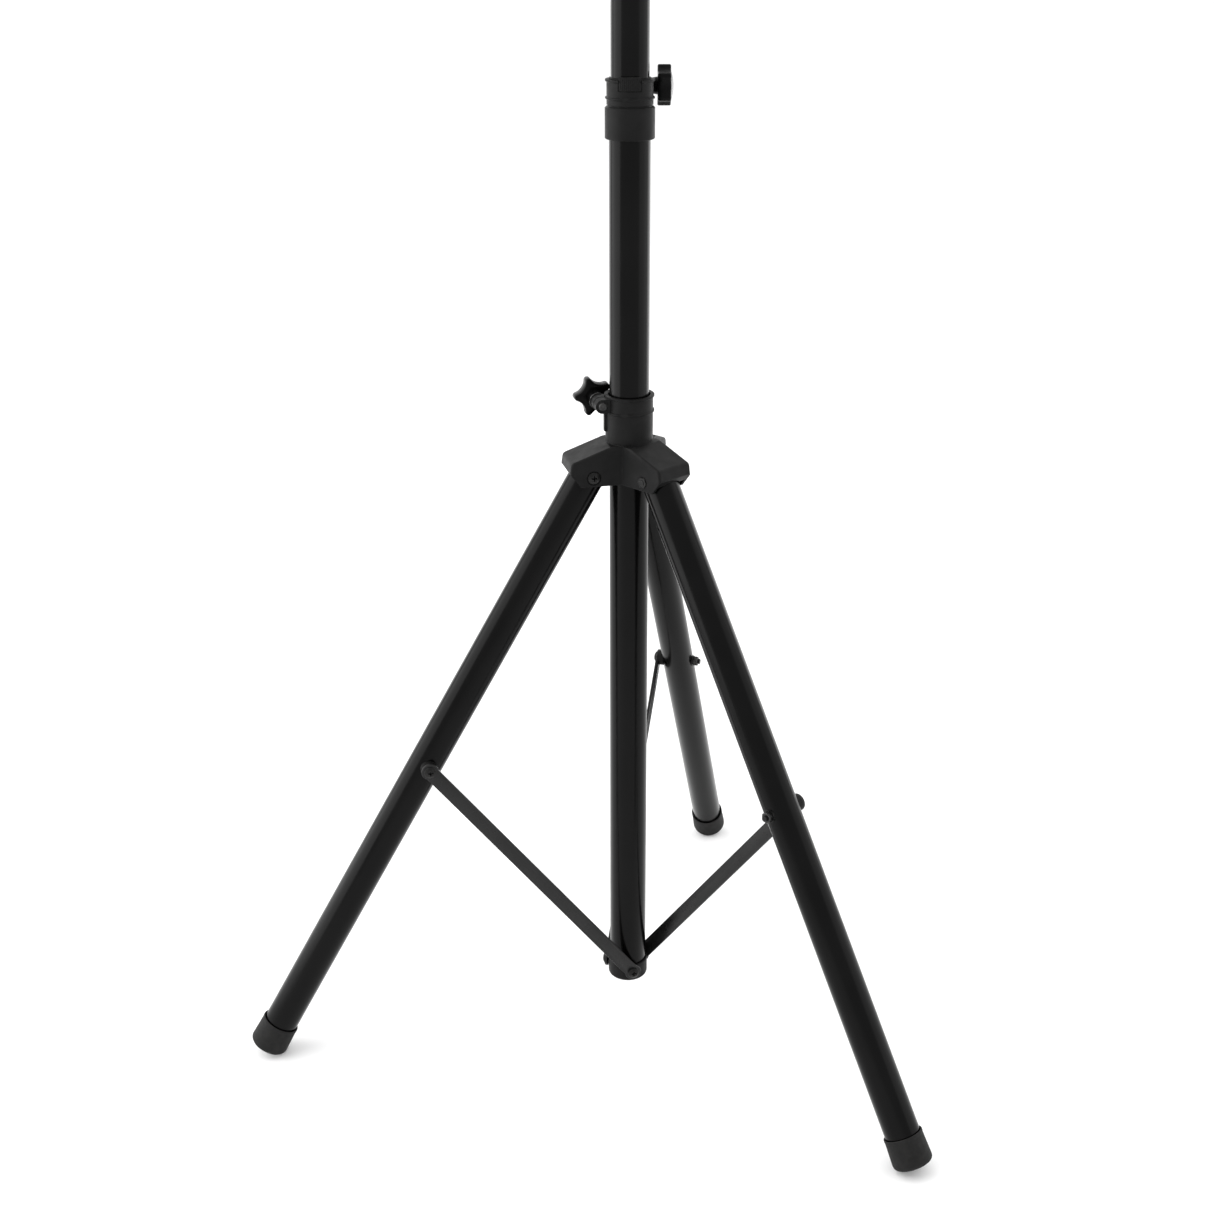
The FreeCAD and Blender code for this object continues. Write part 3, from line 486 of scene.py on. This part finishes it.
def build_screw(node, axis_place):
    """A pan-head cross-recess screw on the CAD screw's own axis, head towards +Z."""
    low, high = extent(node, axis_place)
    head, top = high.x, high.z
    profile = rounded([
        (0.0, low.z), (SHANK_RADIUS - 0.5 * MM, low.z), (SHANK_RADIUS, low.z + 0.6 * MM),
        (SHANK_RADIUS, top - HEAD_HEIGHT), (head, top - HEAD_HEIGHT, 0.25 * MM),
        (head, top - HEAD_HEIGHT * 0.5, 0.9 * MM), (head * 0.6, top, 1.6 * MM), (0.0, top),
    ])
    screw = carve(lathe(profile, segments=48), cross_cutter(top))
    piece(node + "_turned", screw, axis_place, node)


def build_nut(node, axis_place):
    """A hexagon nut with its corners turned off on both faces."""
    low, high = extent(node, axis_place)
    corner, phase = outermost(node, axis_place)
    flat = corner * cos(pi / 6)
    face_limit = flat - 0.2 * MM
    bevel = 0.55 * MM
    segments = 72
    rings = []
    for height, limit in ((low.z, face_limit), (low.z + bevel, corner),
                          (high.z - bevel, corner), (high.z, face_limit)):
        ring = []
        for k in range(segments):
            angle = 2 * pi * k / segments
            inside = (angle - phase) % (pi / 3) - pi / 6
            radius = min(flat / cos(inside), limit)
            ring.append(Vector((radius * cos(angle), radius * sin(angle), height)))
        rings.append(ring)
    piece(node + "_hex", layered(rings), axis_place, node)


def build_round_nut(which):
    """The clamp's round nut: a ring in its pocket with its outer edges broken."""
    node = f"{which}_clamp_nut"
    joint = JOINT[f"{which}_knob_turn"]
    place = framed(Vector(joint["pos_m"]), Vector(joint["axis"]), Vector((0, 0, 1)))
    low, high = extent(node, place)
    bore = min(p.xy.length for p in local_points(node, place))
    profile = rounded([(bore, high.z), (bore, low.z, 0.3 * MM), (high.x, low.z, 0.4 * MM),
                       (high.x, high.z)])
    piece(node + "_ring", lathe(profile, segments=64, closed=True), place, node)


# ---------------------------------------------------------------- straps

def strap_outline(length, half_width, eye, inset):
    """Half the outline of a bar with an eye at each end, as (x, z), offset inwards."""
    half_width, eye = half_width - inset, eye - inset
    meet = asin(half_width / eye)
    steps = 14
    points = []
    for end, level in ((1, 0.0), (-1, -length)):
        for step in range(steps + 1):
            angle = (pi - meet) * (1 - 2 * step / steps)
            points.append((end * eye * sin(angle), level + end * eye * cos(angle)))
    return points


def build_strap(side):
    """A flat brace with rounded eyes and softened edges."""
    place, length = strap_frame(side)
    node = f"{side}_strap"
    low, high = extent(node, place)
    eye = high.z
    half_width = 7.5 * MM
    soft = 0.7 * MM
    rings = []
    for level, inset in ((low.y, soft), (low.y + soft * 0.3, soft * 0.3), (low.y + soft, 0.0),
                         (high.y - soft, 0.0), (high.y - soft * 0.3, soft * 0.3),
                         (high.y, soft)):
        rings.append([Vector((x, level, z))
                      for x, z in strap_outline(length, half_width, eye, inset)])
    piece(f"{side}_strap_bar", layered(rings), place, node)


# ---------------------------------------------------------------- star screws

def star_outline(reach, tip, hollow, inset):
    """A five-pointed outline of tangent arcs, offset inwards: round tips and round hollows."""
    points = 5
    half = pi / points
    tip_centre = reach - tip
    hollow_centre = tip_centre * cos(half) + sqrt((hollow + tip) ** 2
                                                  - (tip_centre * sin(half)) ** 2)
    outline = []
    for i in range(points):
        azimuth = 2 * half * i
        at_tip = Vector((tip_centre, 0))
        at_hollow = Vector((hollow_centre * cos(half), hollow_centre * sin(half)))
        lean = (at_hollow - at_tip).angle_signed(Vector((1, 0)))
        turn = Matrix.Rotation(azimuth, 2)
        steps = 8
        for step in range(steps + 1):
            angle = lean * (2 * step / steps - 1)
            outline.append(turn @ (at_tip + Vector((cos(angle), sin(angle))) * (tip - inset)))
        start = pi + lean
        end = pi + 2 * half - lean
        for step in range(1, steps):
            angle = start + (end - start) * step / steps
            outline.append(turn @ (at_hollow + Vector((cos(angle), sin(angle)))
                                   * (hollow + inset)))
    return outline


STAR_DEPTH, TIP_RADIUS, HOLLOW_RADIUS = 12.5 * MM, 3.2 * MM, 13.0 * MM
BOSS_RADIUS, BOSS_WALL, BOSS_STRAIGHT, BOSS_FLARE = 6.5 * MM, 1.2 * MM, 5.0 * MM, 1.6 * MM


def build_star(which):
    """A moulded star with rounded rims, the boss behind it and the domed cap in its face."""
    knob, cap = f"{which}_star_knob", f"{which}_knob_cap"
    axis = Vector(JOINT[f"{which}_knob_turn"]["axis"])
    origin = Vector(JOINT[f"{which}_knob_turn"]["pos_m"])
    place = framed(origin, axis, axis.cross(Vector((0, 0, 1))))
    low, high = extent(knob, place)
    near, far = high.z - STAR_DEPTH, high.z
    reach, azimuth = outermost(knob, place)
    turn = Matrix.Rotation(azimuth, 4, "Z")
    soft = 1.3 * MM
    rings = []
    for level, inset in ((near, soft), (near + soft * 0.3, soft * 0.3), (near + soft, 0.0),
                         (far - soft, 0.0), (far - soft * 0.3, soft * 0.3), (far, soft)):
        rings.append([turn @ Vector((p.x, p.y, level))
                      for p in star_outline(reach, TIP_RADIUS, HOLLOW_RADIUS, inset)])
    piece(f"{which}_star", layered(rings), place, knob)

    bore, boss_end = BOSS_RADIUS - BOSS_WALL, near + 0.6 * MM
    profile = rounded([
        (bore, low.z), (BOSS_RADIUS, low.z, 0.4 * MM), (BOSS_RADIUS, low.z + BOSS_STRAIGHT),
        (BOSS_RADIUS + BOSS_FLARE, boss_end), (bore, boss_end),
    ])
    piece(f"{which}_star_boss", lathe(profile, segments=48, closed=True), place, knob,
          replaced=False)

    cap_top = extent(cap, place)[1]
    rim, rise = cap_top.x, cap_top.z - far
    ball = (rim ** 2 + rise ** 2) / (2 * rise)
    seat, chamfer, steps = far - 0.6 * MM, 0.4 * MM, 10
    dome = [(0.0, seat), (rim - chamfer, seat), (rim, seat + chamfer)]
    for k in range(steps + 1):
        radius = rim * (1 - k / steps)
        dome.append((radius, cap_top.z - ball + sqrt(ball ** 2 - radius ** 2)))
    piece(f"{which}_cap_dome", lathe(dome, segments=64), place, cap)


# ---------------------------------------------------------------- assembly of the looks

def level_axis(side, towards):
    """A place on the joint named towards, with Z along its axis."""
    joint = JOINT[f"{side}_{towards}"]
    return framed(Vector(joint["pos_m"]), Vector(joint["axis"]), Vector((0, 0, 1)))


def build_legs():
    """Each leg with its foot, strap, screws and nuts."""
    for side in SIDES:
        place = leg_frame(side)
        build_tube(f"{side}_leg_tube", place)
        build_foot(side)
        build_strap(side)
        build_screw(f"{side}_pivot_screw", level_axis(side, "leg_fold"))
        build_nut(f"{side}_pivot_nut", level_axis(side, "leg_fold"))
        build_screw(f"{side}_strap_bolt", level_axis(side, "brace_fold"))
        build_nut(f"{side}_bolt_nut", level_axis(side, "brace_fold"))
        strap, length = strap_frame(side)
        low_eye = strap @ Vector((0, 0, -length))
        axis = Vector(JOINT[f"{side}_brace_fold"]["axis"])
        build_screw(f"{side}_strap_screw", framed(low_eye, axis, Vector((0, 0, 1))))


def build_post():
    """The centre tube and the pole, which has an insertion mark under its spigot."""
    upright = Matrix.Identity(4)
    build_tube("centre_tube", upright)
    spigot, mark_width, mark_depth = 100 * MM, 2.5 * MM, 0.4 * MM
    mark_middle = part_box("upper_pole")[1].z - spigot - mark_width / 2
    build_tube("upper_pole", upright, groove=(mark_middle, mark_width, mark_depth))


def build_key_ribs():
    """Fine upright ribs on the bush's key, where it shows in the collar's window."""
    count, half_band, length, radius, end_round = 11, 8.6 * MM, 10.4 * MM, 0.5 * MM, 0.3 * MM
    sink, foot_drop = 0.25 * MM, 12.0 * MM  # into the key's face, and below the bush's top
    clamp = JOINT["collar_knob_turn"]
    out = Vector(clamp["axis"]).cross(Vector((0, 0, 1)))
    if out.dot(Vector(clamp["pos_m"])) > 0:
        out = -out
    face = outermost("pole_bush", Matrix.Identity(4))[0]
    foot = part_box("pole_bush")[1].z - foot_drop
    half_turn = asin(half_band / face)
    for k in range(count):
        angle = atan2(out.y, out.x) + half_turn * (2 * k / (count - 1) - 1)
        spot = Vector((cos(angle), sin(angle), 0)) * (face - sink)
        place = Matrix.Translation(spot + Vector((0, 0, foot)))
        profile = rounded([(0.0, 0.0), (radius, 0.0, end_round), (radius, length, end_round),
                           (0.0, length)])
        piece(f"bush_key_rib_{k + 1}", lathe(profile, segments=12), place, "pole_bush",
              replaced=False)


def finish_nodes():
    """The CAD nodes that stay take their slot's finish."""
    for name, node in frame["nodes"].items():
        material = FINISH[SLOT_OF[name]]
        if not node.data.materials:
            node.data.materials.append(material)
        for slot in node.material_slots:
            slot.material = material


# ---------------------------------------------------------------- studio

CAMERA_PLACE = (0.4438, -1.5915, 1.1523)
CAMERA_HEADING, CAMERA_PITCH, CAMERA_ROLL = 16.336, 22.483, 0.143  # degrees
CAMERA_LENS, SENSOR = 52.78, 36.0  # mm


def build_camera():
    data = bpy.data.cameras.new("camera")
    data.lens, data.sensor_width = CAMERA_LENS, SENSOR
    camera = bpy.data.objects.new("camera", data)
    camera.matrix_world = (
        Matrix.Translation(CAMERA_PLACE)
        @ Matrix.Rotation(radians(CAMERA_HEADING), 4, "Z")
        @ Matrix.Rotation(radians(90 - CAMERA_PITCH), 4, "X")
        @ Matrix.Rotation(radians(-CAMERA_ROLL), 4, "Z")
    )
    scene.collection.objects.link(camera)
    scene.camera = camera


def build_floor():
    """A wide pale floor with a faint unevenness."""
    half_side, tone_cells, gloss_cells = 60.0, 1.3, 9.0  # metres, and cells in a metre
    build = bmesh.new()
    build.faces.new([build.verts.new((x * half_side, y * half_side, 0))
                     for x, y in ((-1, -1), (1, -1), (1, 1), (-1, 1))])
    mesh = bpy.data.meshes.new("studio_floor")
    build.to_mesh(mesh)
    build.free()
    g = Graph("studio_paper")
    tone = g.noise(tone_cells, detail=2.0)
    g.plug(g.blend(tone, grey(0.90), grey(0.92)), g.shader.inputs["Base Color"])
    g.plug(g.span(g.noise(gloss_cells), 0.3, 0.7, 0.75, 0.85), g.shader.inputs["Roughness"])
    g.shader.inputs["Specular IOR Level"].default_value = 0.2
    mesh.materials.append(g.material)
    floor = bpy.data.objects.new("studio_floor", mesh)
    scene.collection.objects.link(floor)


def soft_light(name, heading, elevation, strength, spread):
    """A broad sun. heading is where it stands, in degrees round from the camera's right."""
    data = bpy.data.lights.new(name, "SUN")
    data.energy, data.angle = strength, radians(spread)
    light = bpy.data.objects.new(name, data)
    azimuth = radians(CAMERA_HEADING + heading)
    level, rise = cos(radians(elevation)), sin(radians(elevation))
    place = Vector((cos(azimuth) * level, sin(azimuth) * level, rise))
    light.matrix_world = place.to_track_quat("Z", "Y").to_matrix().to_4x4()
    scene.collection.objects.link(light)


def soft_box(name, heading, reach, width, height, strength):
    """An upright lit panel that faces the stand from reach away, unseen by the camera itself."""
    data = bpy.data.lights.new(name, "AREA")
    data.shape, data.size, data.size_y = "RECTANGLE", width, height
    data.energy = strength * width * height * pi
    light = bpy.data.objects.new(name, data)
    azimuth = radians(CAMERA_HEADING + heading)
    out = Vector((cos(azimuth), sin(azimuth), 0))
    floor_gap = 0.02
    light.matrix_world = (Matrix.Translation(out * reach + Vector((0, 0, height / 2 + floor_gap)))
                          @ out.to_track_quat("Z", "Y").to_matrix().to_4x4())
    light.visible_camera = False
    scene.collection.objects.link(light)


WORLD_STRENGTH = 0.92


def build_studio():
    """World light, suns, panels, floor and camera."""
    world = bpy.data.worlds.new("studio")
    world.use_nodes = True
    world.node_tree.nodes["Background"].inputs["Color"].default_value = grey(1.0)
    world.node_tree.nodes["Background"].inputs["Strength"].default_value = WORLD_STRENGTH
    scene.world = world
    soft_light("key", heading=190, elevation=55, strength=0.7, spread=55)
    soft_light("fill", heading=20, elevation=60, strength=0.3, spread=70)
    soft_box("left_panel", heading=185, reach=1.9, width=2.2, height=2.4, strength=2.3)
    soft_box("right_panel", heading=-10, reach=2.4, width=2.4, height=2.4, strength=0.8)
    soft_box("left_rim_panel", heading=115, reach=2.2, width=2.0, height=2.4, strength=0.9)
    soft_box("right_rim_panel", heading=48, reach=2.4, width=1.8, height=2.4, strength=1.6)
    build_floor()
    scene.view_settings.view_transform = "Standard"
    build_camera()


finish_nodes()
build_post()
build_legs()
for clamp_name in ("hub", "collar"):
    build_star(clamp_name)
    build_round_nut(clamp_name)
build_key_ribs()
build_studio()
